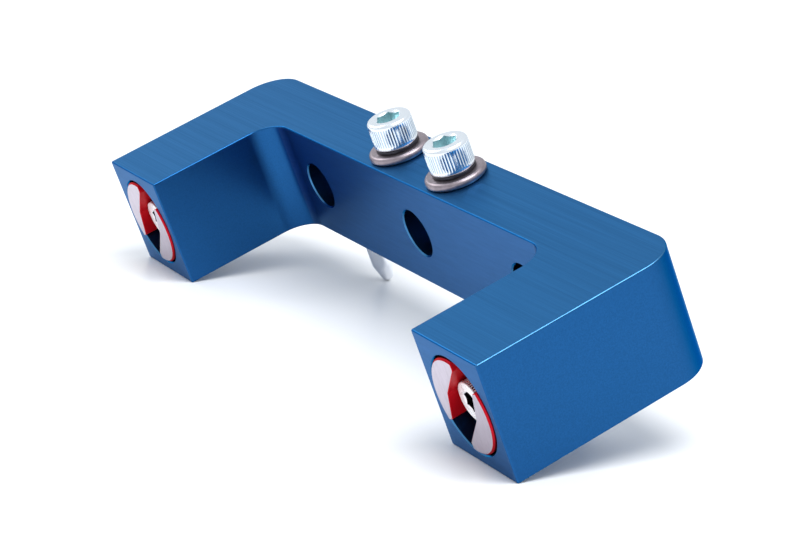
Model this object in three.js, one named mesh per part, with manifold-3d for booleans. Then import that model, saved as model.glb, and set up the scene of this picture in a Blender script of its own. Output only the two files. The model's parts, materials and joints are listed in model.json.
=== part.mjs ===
// Jaw of a bench vise for circuit boards: a U-shaped aluminium bar with a slotted, turning plug in the end
// of each arm, two clamp screws on its bridge and two locating pins under it. Millimetres, +Z up.
//
// Every piece is made in the frame of the bar: X along the bridge with 0 at its middle, Y from the arm tips
// (0) to the back, Z from the underside (0) to the top. The bar is then leaned back until it rests on its
// arm tips and on the noses of its pins, and the exported group has its origin under the middle of the
// whole jaw, on the surface that it leans on.
import * as THREE from "three";
import { mergeVertices } from "three/addons/utils/BufferGeometryUtils.js";
import Module from "manifold-3d";

// ---------------------------------------------------------------- driving dimensions (mm, degrees)

// Bar
const LENGTH = 176;
const DEPTH = 48;
const HEIGHT = 26.4;
const ARM_WIDTH = 25.4;
const BRIDGE_THICKNESS = 15.4;
const OUTER_CORNER_RADIUS = 9;
const INNER_FILLET_RADIUS = 7;
const EDGE_BREAK = 0.4;

// Holes across the bridge, for two guide rods and a spindle
const CROSS_HOLE_DIAMETER = 11;
const CROSS_HOLE_SPACING = 47;
const CROSS_HOLE_CHAMFER = 0.5;

// Plugs in the arm tips
const BORE_DIAMETER = 21.4;
const BORE_CHAMFER = 0.2;
const PLUG_GAP = 0.3; // radial, between a plug and its bore
const PLUG_LENGTH = 13;
const PLUG_PROUD = 0.4; // how far a plug's face stands out of the arm tip
const PLUG_CHAMFER = 0.4;
const SLOT_ANGLE = 58; // from +X towards +Z, seen from the front
const SLOT_END_WIDTH = 7;
const SLOT_HEAD_GAP = 0.35; // between the slot's middle and the head of the plug screw
const SLOT_VERTEX_SHIFT = 0.6; // each wall's vertex lies this far from the middle, along the slot
const SLOT_DEPTH = 7;

// O-ring round each plug
const O_RING_SECTION = 1.4;
const O_RING_WIDTH_GAP = 0.25;
const O_RING_GAP = 0.1;
const GROOVE_FROM_BACK = 2; // solid plug behind the groove

// Wave washer under each plug
const WAVE_WASHER_GAP = 1.7; // radial, to the wall of the bore
const WAVE_WASHER_WIDTH = 3;
const WAVE_WASHER_SHEET = 0.4;
const WAVE_WASHER_RISE = 0.5; // from the troughs of the sheet to its crests
const WAVE_COUNT = 3;

// Plug screws (M5) and their thread inserts
const PLUG_SCREW = {
  thread: 5, headDiameter: 8.5, headHeight: 5, acrossFlats: 4, socketDepth: 2.5, edge: 0.4,
};
const PLUG_SCREW_HOLE = 5.5;
const INSERT_WALL = 0.9;
const INSERT_LENGTH = 8;
const SCREW_PAST_INSERT = 0.9;
const SCREW_RUN_OUT = 4; // drilled depth past the insert

// Clamp screws (M6) with their washers
const CLAMP_SCREW = {
  thread: 6, headDiameter: 10, headHeight: 6.2, acrossFlats: 5, socketDepth: 3, edge: 0.6,
};
const CLAMP_TIP_INSET = 3.95; // how far a screw's tip stays above the underside
const CLAMP_SCREW_SPACING = 25.4;
const TAPPED_HOLE_CHAMFER = 0.5;
const FLAT_WASHER = { outer: 13.6, inner: 6.6, thickness: 1.7, edge: 0.5 };
const SPRING_WASHER = { outer: 9.8, inner: 6.4, thickness: 0.7, edge: 0.1 };
const SPRING_WASHER_SPLIT = 0.9;
const SPRING_WASHER_SLANT = 30;

// Locating pins under the bridge
const PIN_DIAMETER = 5;
const PIN_HOLE_WALL = 2; // left between a pin and the cross hole over it
const PIN_PROTRUSION = 16.3;
const PIN_SPACING = 2 * CROSS_HOLE_SPACING; // the pins stand under the outer cross holes
const PIN_TIP_RADIUS = 1.4;
const PIN_NOSE_ANGLE = 18; // half the angle of the nose's cone

// Clearances
const THREAD_GAP = 0.1; // radial, round a screw in its thread and a pressed piece in its hole
const SEAT_GAP = 0.05; // between faces that bear on each other
const END_GAP = 0.3; // behind a piece that doesn't reach the end of its hole
const OVERCUT = 1; // how far a cutting shape runs past the face that it cuts

// Fineness of round shapes
const ROUND = 36;
const ROUND_SMALL = 24;
const CORNER_STEPS = 8;

// ---------------------------------------------------------------- places that follow from them

const plugDiameter = BORE_DIAMETER - 2 * PLUG_GAP;
const slotMiddleWidth = PLUG_SCREW.headDiameter + 2 * SLOT_HEAD_GAP;
const insertDiameter = PLUG_SCREW.thread + 2 * (THREAD_GAP + INSERT_WALL);
const armCentre = (LENGTH - ARM_WIDTH) / 2;
const midHeight = HEIGHT / 2;
const bridgeFront = DEPTH - BRIDGE_THICKNESS;
const bridgeMiddle = DEPTH - BRIDGE_THICKNESS / 2;
const waveWasherHeight = WAVE_WASHER_SHEET + WAVE_WASHER_RISE;
const plugBack = PLUG_LENGTH - PLUG_PROUD; // depths are counted from the arm tip's face
const boreDepth = plugBack + waveWasherHeight + 2 * SEAT_GAP;
const slotFloor = SLOT_DEPTH - PLUG_PROUD;
const insertStart = boreDepth + SEAT_GAP;
const plugScrewLength = insertStart + INSERT_LENGTH + SCREW_PAST_INSERT - slotFloor + SEAT_GAP;
const washerStack = FLAT_WASHER.thickness + SPRING_WASHER.thickness + 3 * SEAT_GAP;
const clampScrewLength = HEIGHT - CLAMP_TIP_INSET + washerStack;
const pinEmbedded = midHeight - CROSS_HOLE_DIAMETER / 2 - PIN_HOLE_WALL;

// ---------------------------------------------------------------- solids

const wasm = await Module();
wasm.setup();

// A closed three.js geometry as a solid that can be cut and joined. Merging its vertices leaves triangles
// without area at the poles of a lathed shape, and these are dropped.
function solidOf(geometry) {
  const plain = geometry.clone();
  plain.deleteAttribute("normal");
  plain.deleteAttribute("uv");
  const merged = mergeVertices(plain, 1e-4);
  const corners = merged.index.array;
  const kept = [];
  for (let i = 0; i < corners.length; i += 3) {
    const [a, b, c] = [corners[i], corners[i + 1], corners[i + 2]];
    if (a !== b && b !== c && c !== a) kept.push(a, b, c);
  }
  const vertProperties = merged.attributes.position.array;
  return new wasm.Manifold(new wasm.Mesh({ numProp: 3, vertProperties, triVerts: new Uint32Array(kept) }));
}

// A solid as a named three.js mesh with its own material.
function piece(name, solid, finish) {
  const { vertProperties, triVerts } = solid.getMesh();
  const geometry = new THREE.BufferGeometry();
  geometry.setAttribute("position", new THREE.BufferAttribute(vertProperties, 3));
  geometry.setIndex(new THREE.BufferAttribute(triVerts, 1));
  geometry.computeVertexNormals();
  const mesh = new THREE.Mesh(geometry, new THREE.MeshStandardMaterial(finish));
  mesh.name = name;
  return mesh;
}

// A solid of revolution about Y from [radius, y] points that run towards +Y. The profile starts and ends
// on the axis, or comes back to its first point.
function turned(profile, steps = ROUND) {
  return solidOf(new THREE.LatheGeometry(profile.map(([r, y]) => new THREE.Vector2(r, y)), steps));
}

// A flat ring about Y with broken edges, its first face at y = 0.
function ring({ outer, inner, thickness, edge }, steps = ROUND) {
  const [ro, ri] = [outer / 2, inner / 2];
  return turned([
    [ri, 0], [ro - edge, 0], [ro, edge],
    [ro, thickness - edge], [ro - edge, thickness], [ri, thickness], [ri, 0],
  ], steps);
}

// A cutting shape for a hole along +Y that starts at y = 0 with a chamfer.
function drill(radius, depth, chamfer, steps = ROUND) {
  const mouth = radius + chamfer + OVERCUT;
  return turned([[0, -OVERCUT], [mouth, -OVERCUT], [radius, chamfer], [radius, depth], [0, depth]], steps);
}

// The same for a through hole with a chamfer at both ends.
function throughDrill(radius, length, chamfer, steps = ROUND) {
  const mouth = radius + chamfer + OVERCUT;
  return turned([
    [0, -OVERCUT], [mouth, -OVERCUT], [radius, chamfer],
    [radius, length - chamfer], [mouth, length + OVERCUT], [0, length + OVERCUT],
  ], steps);
}

// A prism along +Y over a flat outline given in X and Z.
function prism(outline, start, end) {
  const shape = new THREE.Shape(outline.map(([x, z]) => new THREE.Vector2(x, -z)));
  const geometry = new THREE.ExtrudeGeometry(shape, { depth: end - start, bevelEnabled: false });
  return solidOf(geometry.rotateX(-Math.PI / 2).translate(0, start, 0));
}

// Moves a solid's own origin to a seat on the bar. A seat's +Y points into the material, so a turn of -90
// degrees about X suits the top of the bar and a turn of +90 degrees its underside.
const TOP = -90;
const UNDERSIDE = 90;
const FRONT = 0;
const onSeat = (solid, face, x, y, z) => solid.rotate([face, 0, 0]).translate([x, y, z]);

// ---------------------------------------------------------------- finishes

const BLUE_ANODISED = { color: 0x2a5c9c, roughness: 0.42, metalness: 0.7 };
const RED_ANODISED = { color: 0xb3202c, roughness: 0.35, metalness: 0.6 };
const PLATED_STEEL = { color: 0xdfe6ec, roughness: 0.2, metalness: 0.95 };
const GREY_STEEL = { color: 0x8d7f86, roughness: 0.38, metalness: 0.9 };
const BLACK_STEEL = { color: 0x15171b, roughness: 0.5, metalness: 0.6 };
const POLISHED_STEEL = { color: 0xc9ced4, roughness: 0.12, metalness: 1 };
const BRIGHT_STEEL = { color: 0xb4b8bc, roughness: 0.3, metalness: 0.95 };
const BLACK_RUBBER = { color: 0x101112, roughness: 0.75, metalness: 0 };

// ---------------------------------------------------------------- the bar

// Outline of the U, seen from above. The arm tips have sharp, broken corners; the bridge has round outer
// corners and a fillet where it meets each arm.
function barOutline() {
  const half = LENGTH / 2;
  const gap = half - ARM_WIDTH;
  const fillet = INNER_FILLET_RADIUS;
  const corner = OUTER_CORNER_RADIUS;
  const shape = new THREE.Shape();
  shape.moveTo(-half + EDGE_BREAK, 0);
  shape.lineTo(-gap - EDGE_BREAK, 0);
  shape.lineTo(-gap, EDGE_BREAK);
  shape.absarc(-gap + fillet, bridgeFront - fillet, fillet, Math.PI, Math.PI / 2, true);
  shape.absarc(gap - fillet, bridgeFront - fillet, fillet, Math.PI / 2, 0, true);
  shape.lineTo(gap, EDGE_BREAK);
  shape.lineTo(gap + EDGE_BREAK, 0);
  shape.lineTo(half - EDGE_BREAK, 0);
  shape.lineTo(half, EDGE_BREAK);
  shape.absarc(half - corner, DEPTH - corner, corner, 0, Math.PI / 2, false);
  shape.absarc(-half + corner, DEPTH - corner, corner, Math.PI / 2, Math.PI, false);
  shape.lineTo(-half, EDGE_BREAK);
  return shape;
}

// Cutting shape for one arm tip: plug bore, thread insert's hole and drilled run-out, one behind the other.
function armBore() {
  const [bore, insert, drilled] = [BORE_DIAMETER / 2, insertDiameter / 2 + THREAD_GAP, PLUG_SCREW_HOLE / 2];
  const mouth = bore + BORE_CHAMFER + OVERCUT;
  const insertEnd = insertStart + INSERT_LENGTH + SEAT_GAP;
  return turned([
    [0, -OVERCUT], [mouth, -OVERCUT], [bore, BORE_CHAMFER], [bore, boreDepth], [insert, boreDepth],
    [insert, insertEnd], [drilled, insertEnd], [drilled, insertEnd + SCREW_RUN_OUT],
    [0, insertEnd + SCREW_RUN_OUT],
  ]);
}

function jawFrame() {
  const block = new THREE.ExtrudeGeometry(barOutline(), {
    depth: HEIGHT - 2 * EDGE_BREAK,
    bevelThickness: EDGE_BREAK,
    bevelSize: EDGE_BREAK,
    bevelOffset: -EDGE_BREAK,
    bevelSegments: 1,
    curveSegments: CORNER_STEPS,
  });
  let bar = solidOf(block.translate(0, 0, EDGE_BREAK));

  const crossHole = throughDrill(CROSS_HOLE_DIAMETER / 2, BRIDGE_THICKNESS, CROSS_HOLE_CHAMFER);
  for (const x of [-CROSS_HOLE_SPACING, 0, CROSS_HOLE_SPACING]) {
    bar = bar.subtract(onSeat(crossHole, FRONT, x, bridgeFront, midHeight));
  }
  const tappedRadius = CLAMP_SCREW.thread / 2 + THREAD_GAP;
  const tapped = throughDrill(tappedRadius, HEIGHT, TAPPED_HOLE_CHAMFER, ROUND_SMALL);
  const pinHole = drill(PIN_DIAMETER / 2 + THREAD_GAP, pinEmbedded + END_GAP, 0, ROUND_SMALL);
  for (const side of [-1, 1]) {
    bar = bar.subtract(onSeat(armBore(), FRONT, side * armCentre, 0, midHeight));
    bar = bar.subtract(onSeat(tapped, TOP, (side * CLAMP_SCREW_SPACING) / 2, bridgeMiddle, HEIGHT));
    bar = bar.subtract(onSeat(pinHole, UNDERSIDE, (side * PIN_SPACING) / 2, bridgeMiddle, 0));
  }
  return bar;
}

// ---------------------------------------------------------------- fasteners

// Hexagonal socket: a prism with its flats across the given size.
function hexSocket(acrossFlats, start, end) {
  const corner = acrossFlats / Math.sqrt(3);
  const outline = [];
  for (let i = 0; i < 6; i += 1) {
    const turn = (i * Math.PI) / 3;
    outline.push([corner * Math.cos(turn), corner * Math.sin(turn)]);
  }
  return prism(outline, start, end);
}

// Socket-head cap screw along +Y, its head's underside at y = 0 and its head on the -Y side.
function capScrew({ thread, headDiameter, headHeight, acrossFlats, socketDepth, edge }, length) {
  const [head, shank] = [headDiameter / 2, thread / 2];
  const body = turned([
    [0, -headHeight], [head - edge, -headHeight], [head, edge - headHeight], [head, 0], [shank, 0],
    [shank, length - edge], [shank - edge, length], [0, length],
  ], ROUND_SMALL);
  return body.subtract(hexSocket(acrossFlats, -headHeight - OVERCUT, socketDepth - headHeight));
}

// Spring washer: a narrow ring with one slanted cut.
function springWasher() {
  const { outer, thickness } = SPRING_WASHER;
  const cut = new THREE.BoxGeometry(SPRING_WASHER_SPLIT, 4 * thickness, outer);
  cut.rotateZ(THREE.MathUtils.degToRad(SPRING_WASHER_SLANT)).translate(0, thickness / 2, outer / 2);
  return ring(SPRING_WASHER, ROUND_SMALL).subtract(solidOf(cut));
}

// Dowel pin pressed into the face at y = 0: it stands out on the -Y side and ends in a cone with a round
// tip, which meets the cone without an edge.
function locatingPin() {
  const radius = PIN_DIAMETER / 2;
  const slope = THREE.MathUtils.degToRad(PIN_NOSE_ANGLE);
  const tipSweep = Math.PI / 2 - slope;
  const tipCentre = PIN_TIP_RADIUS - PIN_PROTRUSION;
  const tipSteps = 8;
  const profile = [];
  for (let i = 0; i <= tipSteps; i += 1) {
    const a = (tipSweep * i) / tipSteps;
    profile.push([PIN_TIP_RADIUS * Math.sin(a), tipCentre - PIN_TIP_RADIUS * Math.cos(a)]);
  }
  const [coneRadius, coneStart] = profile.at(-1);
  profile.push([radius, coneStart + (radius - coneRadius) / Math.tan(slope)]);
  profile.push([radius, pinEmbedded - EDGE_BREAK], [radius - EDGE_BREAK, pinEmbedded], [0, pinEmbedded]);
  return turned(profile, ROUND_SMALL);
}

// ---------------------------------------------------------------- plug and what holds it

const grooveFloor = BORE_DIAMETER / 2 - O_RING_SECTION - 2 * O_RING_GAP;
const grooveWidth = O_RING_SECTION + 2 * O_RING_WIDTH_GAP;
const grooveEnd = plugBack - GROOVE_FROM_BACK;

// Outline of the slot: two walls that each bend at a vertex near the middle, so that the slot is widest
// round the head of the plug screw.
function slotOutline() {
  const reach = plugDiameter / 2 + OVERCUT;
  const [end, middle] = [SLOT_END_WIDTH / 2, slotMiddleWidth / 2];
  const turn = THREE.MathUtils.degToRad(SLOT_ANGLE);
  const along = [Math.cos(turn), Math.sin(turn)];
  const across = [-along[1], along[0]];
  const wall = [[-reach, end], [-SLOT_VERTEX_SHIFT, middle], [reach, end]];
  const opposite = wall.map(([u, v]) => [-u, -v]);
  return [...opposite, ...wall].map(([u, v]) => [
    u * along[0] + v * across[0],
    u * along[1] + v * across[1],
  ]).reverse();
}

// Red plug along +Y, with y = 0 in the plane of the arm tip. Its slot runs right across its face.
function jawPlug() {
  const radius = plugDiameter / 2;
  const body = turned([
    [0, -PLUG_PROUD], [radius - PLUG_CHAMFER, -PLUG_PROUD], [radius, PLUG_CHAMFER - PLUG_PROUD],
    [radius, grooveEnd - grooveWidth], [grooveFloor, grooveEnd - grooveWidth], [grooveFloor, grooveEnd],
    [radius, grooveEnd], [radius, plugBack - EDGE_BREAK], [radius - EDGE_BREAK, plugBack], [0, plugBack],
  ]);
  const slot = prism(slotOutline(), -PLUG_PROUD - OVERCUT, slotFloor);
  const holeRadius = PLUG_SCREW_HOLE / 2;
  const hole = turned([[0, 0], [holeRadius, 0], [holeRadius, DEPTH], [0, DEPTH]], ROUND_SMALL);
  return body.subtract(slot).subtract(hole);
}

function oRing() {
  const middle = BORE_DIAMETER / 2 - O_RING_GAP - O_RING_SECTION / 2;
  const torus = new THREE.TorusGeometry(middle, O_RING_SECTION / 2, 8, ROUND);
  return solidOf(torus.rotateX(Math.PI / 2).translate(0, grooveEnd - grooveWidth / 2, 0));
}

// Sheet ring about Y whose height rises and falls as a cosine of the angle, from y = 0.
function waveWasher() {
  const position = [];
  const index = [];
  const outer = BORE_DIAMETER / 2 - WAVE_WASHER_GAP;
  const radii = [outer - WAVE_WASHER_WIDTH, outer];
  for (let i = 0; i < ROUND; i += 1) {
    const a = (2 * Math.PI * i) / ROUND;
    const sheet = (WAVE_WASHER_RISE / 2) * (1 + Math.cos(WAVE_COUNT * a));
    const section = [
      [radii[0], sheet], [radii[1], sheet],
      [radii[1], sheet + WAVE_WASHER_SHEET], [radii[0], sheet + WAVE_WASHER_SHEET],
    ];
    for (const [r, y] of section) position.push(r * Math.sin(a), y, r * Math.cos(a));
    for (let k = 0; k < 4; k += 1) {
      const [a0, a1] = [4 * i + k, 4 * i + ((k + 1) % 4)];
      const [b0, b1] = [a0, a1].map((corner) => (corner + 4) % (4 * ROUND));
      index.push(a0, b0, b1, a0, b1, a1);
    }
  }
  const geometry = new THREE.BufferGeometry();
  geometry.setAttribute("position", new THREE.Float32BufferAttribute(position, 3));
  geometry.setIndex(index);
  return solidOf(geometry);
}

function threadInsert() {
  const [outer, inner] = [insertDiameter / 2, insertDiameter / 2 - INSERT_WALL];
  return turned([
    [inner, 0], [outer, 0], [outer, INSERT_LENGTH], [inner, INSERT_LENGTH], [inner, 0],
  ], ROUND_SMALL);
}

// ---------------------------------------------------------------- assembly

const bar = new THREE.Group();
bar.add(piece("jaw_frame", jawFrame(), BLUE_ANODISED));

// Adds a piece with its seat on the front, the top or the underside of the bar.
function fit(name, solid, finish, face, x, y, z) {
  bar.add(piece(name, onSeat(solid, face, x, y, z), finish));
}

for (const [side, sign] of [["left", -1], ["right", 1]]) {
  const armTip = (depth) => [FRONT, sign * armCentre, depth, midHeight];
  fit(`${side}_jaw_plug`, jawPlug(), RED_ANODISED, ...armTip(0));
  fit(`${side}_o_ring`, oRing(), BLACK_RUBBER, ...armTip(0));
  const plugScrew = capScrew(PLUG_SCREW, plugScrewLength);
  fit(`${side}_plug_screw`, plugScrew, PLATED_STEEL, ...armTip(slotFloor - SEAT_GAP));
  fit(`${side}_wave_washer`, waveWasher(), BRIGHT_STEEL, ...armTip(plugBack + SEAT_GAP));
  fit(`${side}_thread_insert`, threadInsert(), BRIGHT_STEEL, ...armTip(insertStart));

  const clampSeat = (lift) => [TOP, (sign * CLAMP_SCREW_SPACING) / 2, bridgeMiddle, HEIGHT + lift];
  const springSeat = FLAT_WASHER.thickness + SEAT_GAP;
  fit(`${side}_flat_washer`, ring(FLAT_WASHER), GREY_STEEL, ...clampSeat(springSeat));
  fit(`${side}_spring_washer`, springWasher(), BLACK_STEEL, ...clampSeat(washerStack - SEAT_GAP));
  const clampScrew = capScrew(CLAMP_SCREW, clampScrewLength);
  fit(`${side}_clamp_screw`, clampScrew, PLATED_STEEL, ...clampSeat(washerStack));

  const pinSeat = [UNDERSIDE, (sign * PIN_SPACING) / 2, bridgeMiddle, 0];
  fit(`${side}_locating_pin`, locatingPin(), POLISHED_STEEL, ...pinSeat);
}

// The lean brings the round tips of the pins level with the lower edges of the arm tips: the tip's centre,
// turned about the edge, has to end up one tip radius above the surface.
function restingLean() {
  const across = bridgeMiddle - EDGE_BREAK;
  const below = PIN_PROTRUSION - PIN_TIP_RADIUS;
  return Math.asin(PIN_TIP_RADIUS / Math.hypot(across, below)) + Math.atan2(below, across);
}

const jaw = new THREE.Group();
jaw.add(bar);
bar.rotation.x = restingLean();
jaw.updateMatrixWorld(true);
const extent = new THREE.Box3().setFromObject(jaw, true);
const middle = extent.getCenter(new THREE.Vector3());
bar.position.set(-middle.x, -middle.y, -extent.min.z);

export default jaw;
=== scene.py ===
# %% [markdown]
# # A jaw of a circuit board vise
#
# The object is one jaw of a vise that holds circuit boards: a U-shaped bar of blue anodised aluminium with
# a slotted red plug in the end of each arm, two cap screws on the bridge and two pins below it. The packed
# model is the frame of this scene: it says where every piece is and how big it is. The script adds a finer
# surface for each piece, gives it a finish, and lets it ride on the body that it belongs to.

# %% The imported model
import json
import math

import bmesh
import bpy
import numpy as np
from mathutils import Matrix


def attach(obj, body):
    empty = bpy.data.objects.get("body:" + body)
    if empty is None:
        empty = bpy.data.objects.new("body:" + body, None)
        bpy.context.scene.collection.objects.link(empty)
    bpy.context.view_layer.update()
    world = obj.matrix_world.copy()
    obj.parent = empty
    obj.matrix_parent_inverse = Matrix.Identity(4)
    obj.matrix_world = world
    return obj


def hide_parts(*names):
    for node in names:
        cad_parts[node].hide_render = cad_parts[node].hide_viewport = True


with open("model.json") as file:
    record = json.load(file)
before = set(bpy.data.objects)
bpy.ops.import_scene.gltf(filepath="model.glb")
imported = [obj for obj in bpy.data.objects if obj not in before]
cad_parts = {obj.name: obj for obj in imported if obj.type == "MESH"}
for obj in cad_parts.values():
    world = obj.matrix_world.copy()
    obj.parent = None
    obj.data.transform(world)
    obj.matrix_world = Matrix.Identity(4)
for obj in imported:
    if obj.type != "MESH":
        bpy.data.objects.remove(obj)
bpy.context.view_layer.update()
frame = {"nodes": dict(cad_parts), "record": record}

# %% [markdown]
# ## The bar's own axes
#
# The jaw leans back on its arm tips and pins, so nothing in it is level. A machinist would still measure it
# from the bar: along the bridge, from the arm tips to the back, and from the underside to the top. The
# mounts of the record are flat faces of the bar, so their normals are these three axes, and their points
# give the origin and the overall sizes. Every shape below is worked out in these axes, in metres, and
# turned into the leaning stance only when it becomes a mesh.

# %% Axes and overall sizes from the mounts
MM = 0.001
MOUNTS = {m["name"]: m for m in frame["record"]["mounts"]}


def mount_point(name):
    """Where a mount is, in metres."""
    return np.array(MOUNTS[name]["pos_m"], float)


def mount_axis(name):
    """A mount's outward normal, with length 1."""
    axis = np.array(MOUNTS[name]["axis"], float)
    return axis / np.linalg.norm(axis)


RIGHT, BACK, UP = mount_axis("right_side"), mount_axis("bridge_back"), -mount_axis("bridge_underside")
AXES = np.column_stack([RIGHT, BACK, UP])
LEAN = math.atan2(BACK[2], BACK[1])
ORIGIN = BACK * (mount_point("left_arm_tip") @ BACK) + UP * (mount_point("bridge_underside") @ UP)
HALF_LENGTH = (mount_point("right_side") - ORIGIN) @ RIGHT
DEPTH = (mount_point("bridge_back") - ORIGIN) @ BACK


def placed(points):
    """Points in the bar's axes, turned and moved to where the jaw stands."""
    return ORIGIN + np.asarray(points, float) @ AXES.T


def span(node):
    """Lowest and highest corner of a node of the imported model, measured along the bar's axes."""
    mesh = frame["nodes"][node].data
    flat = np.empty(3 * len(mesh.vertices))
    mesh.vertices.foreach_get("co", flat)
    local = (flat.reshape(-1, 3) - ORIGIN) @ AXES
    return local.min(axis=0), local.max(axis=0)


HEIGHT = span("jaw_frame")[1][2]

print("lean %.2f degrees, bar %.1f x %.1f x %.1f mm"
      % (math.degrees(LEAN), 2 * HALF_LENGTH / MM, DEPTH / MM, HEIGHT / MM))

# %% [markdown]
# ## Camera
#
# The camera stands to the right of the jaw and a little above it, far away with a long lens, which keeps
# the arms nearly parallel. Its place is written in the bar's axes, so it stays right whatever the lean is.
# A camera in Blender looks along its own -Z, so `look` builds a matrix whose Z points back at the eye. The
# soft lights need the same matrix, which is why it is a helper and not a constraint on the camera.

# %% Camera
CAMERA_EYE = np.array([503.87, -164.82, 255.83]) * MM
CAMERA_AIM = np.array([14.86, 19.58, 12.96]) * MM
CAMERA_LENS = 123.9  # mm, on a sensor 36 mm wide
CAMERA_ROLL = math.radians(1.5)


def look(eye, aim, roll=0.0):
    """Matrix of something at eye that looks at aim along its own -Z, turned about that line by roll."""
    back = (eye - aim) / np.linalg.norm(eye - aim)
    side = np.cross([0, 0, 1], back)
    side /= np.linalg.norm(side)
    over = np.cross(back, side)
    side, over = (side * math.cos(roll) + over * math.sin(roll),
                  over * math.cos(roll) - side * math.sin(roll))
    matrix = np.eye(4)
    matrix[:3, 0], matrix[:3, 1], matrix[:3, 2], matrix[:3, 3] = side, over, back, eye
    return Matrix(matrix.tolist())


def linked(name, data):
    """A new object in the scene that holds the data."""
    thing = bpy.data.objects.new(name, data)
    bpy.context.scene.collection.objects.link(thing)
    return thing


camera_data = bpy.data.cameras.new("camera")
camera_data.lens = CAMERA_LENS
camera_data.sensor_width = 36
camera_data.clip_start = 0.01
camera_data.clip_end = 20
camera = linked("camera", camera_data)
camera.matrix_world = look(placed(CAMERA_EYE), placed(CAMERA_AIM), CAMERA_ROLL)
bpy.context.scene.camera = camera
print("camera stands %.0f mm above the floor" % (camera.location.z / MM))

# %% [markdown]
# ## Shapes from profiles
#
# Nearly every piece here was made on a lathe or a mill, so nearly every piece is a profile that is carried
# round an axis or along an outline. Blender's primitives would do for a rough model, but a profile worked
# out with numpy puts each chamfer and rounded edge exactly where a drawing would have it. `rounded` puts an
# arc at each corner of a profile, `quads` joins a grid of points by four-sided faces, and `weld` merges the
# points of seams and poles.

# %% Profiles, grids and meshes
WELD_STEP = 1e-7  # metres


def rounded(corners, radii, steps=4, closed=False):
    """A polyline with an arc in place of each corner. The arc touches both sides of the corner: its centre
    lies on their bisector at radius / sin(half the angle), and its points are spaced evenly in angle."""
    corners = np.asarray(corners, float)
    count = len(corners)
    radii = np.broadcast_to(np.asarray(radii, float), (count,))
    path = []
    for i, (corner, radius) in enumerate(zip(corners, radii)):
        if radius <= 0 or (not closed and i in (0, count - 1)):
            path.append(corner[None])
            continue
        to_last, to_next = corners[i - 1] - corner, corners[(i + 1) % count] - corner
        shortest = min(np.linalg.norm(to_last), np.linalg.norm(to_next))
        to_last, to_next = to_last / np.linalg.norm(to_last), to_next / np.linalg.norm(to_next)
        half = math.acos(np.clip(to_last @ to_next, -1, 1)) / 2
        radius = min(radius, 0.49 * shortest * math.tan(half))
        centre = corner + (to_last + to_next) / (2 * math.cos(half)) * radius / math.sin(half)
        first = corner + to_last * radius / math.tan(half) - centre
        last = corner + to_next * radius / math.tan(half) - centre
        sweep = math.pi - 2 * half
        t = np.linspace(0, 1, steps + 1)[:, None]
        path.append(centre + (np.sin((1 - t) * sweep) * first + np.sin(t * sweep) * last) / math.sin(sweep))
    return np.concatenate(path)


def quads(rows, columns, start=0, wrap_rows=False, wrap_columns=True):
    """Faces of a grid of rows x columns points, counted row by row from start."""
    i = np.arange(rows if wrap_rows else rows - 1)[:, None]
    j = np.arange(columns if wrap_columns else columns - 1)[None]
    below, above = (i % rows) * columns, ((i + 1) % rows) * columns
    here, there = j + 0 * i, (j + 1) % columns + 0 * i
    faces = np.stack([below + here, below + there, above + there, above + here], axis=-1)
    return faces.reshape(-1, 4) + start


def weld(points, faces):
    """Merges points closer than a tenth of a micrometre. Faces lose the corners that fell together, and one
    with fewer than three left is dropped. faces is a list of index arrays, one for each kind of face."""
    steps = np.round(np.asarray(points) / WELD_STEP).astype(np.int64)
    _, first, where = np.unique(steps, axis=0, return_index=True, return_inverse=True)
    where = where.reshape(-1)
    kept = []
    for block in faces:
        block = where[block]
        same = block == np.roll(block, -1, axis=1)
        lost = same.sum(axis=1)
        for count in np.unique(lost[lost <= block.shape[1] - 3]):
            some = lost == count
            kept.append(block[some][~same[some]].reshape(some.sum(), -1))
    return np.asarray(points)[first], kept


def solid(name, points, faces, finishes=(), face_finish=None):
    """A mesh object from points in the bar's axes. face_finish(normals, centres), if given, chooses each
    face's finish by its normal and its middle, both in the bar's axes."""
    points, faces = weld(points, faces)
    mesh = bpy.data.meshes.new(name)
    mesh.from_pydata(placed(points).tolist(), [], [f for block in faces for f in block.tolist()])
    mesh.validate()
    for finish in finishes:
        mesh.materials.append(finish)
    mesh.polygons.foreach_set("use_smooth", np.ones(len(mesh.polygons), bool))
    if face_finish:
        centres, normals = np.empty((2, 3 * len(mesh.polygons)))
        mesh.polygons.foreach_get("center", centres)
        mesh.polygons.foreach_get("normal", normals)
        centres, normals = (centres.reshape(-1, 3) - ORIGIN) @ AXES, normals.reshape(-1, 3) @ AXES
        mesh.polygons.foreach_set("material_index", face_finish(normals, centres).astype(np.int32))
    return linked(name, mesh)


# %% [markdown]
# ## Turning, cutting and finishing
#
# A turned piece needs an axis as well as a profile. All of them sit on one of three faces of the bar, so
# their axes point out of the arm tips, the top or the underside. `cut` takes drills out of a block with the
# exact boolean, as the mill did, welds the slivers that a boolean leaves, and keeps the result as plain
# mesh with no modifier to run again. `finish_edges` marks the edges that
# stay sharp and lets large faces decide the shading of the small ones beside them, so that a flat face
# next to a rounded edge stays flat to the eye.

# %% Turned shapes, cuts and edges
OUT_OF_TIP, OUT_OF_TOP, OUT_OF_UNDERSIDE = np.array([[0, -1, 0], [0, 0, 1], [0, 0, -1]], float)
SHARP_ANGLE = math.radians(32)
WELD_DISTANCE = 0.002 * MM


def seated(local, centre, out):
    """Points of a shape whose own Z points out of a face, moved to a centre on the bar. Its own X stays
    along the bridge, and its own Y is Z turned about X."""
    x = np.array([1.0, 0, 0])
    return np.asarray(centre) + local @ np.stack([x, np.cross(out, x), out])


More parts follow.
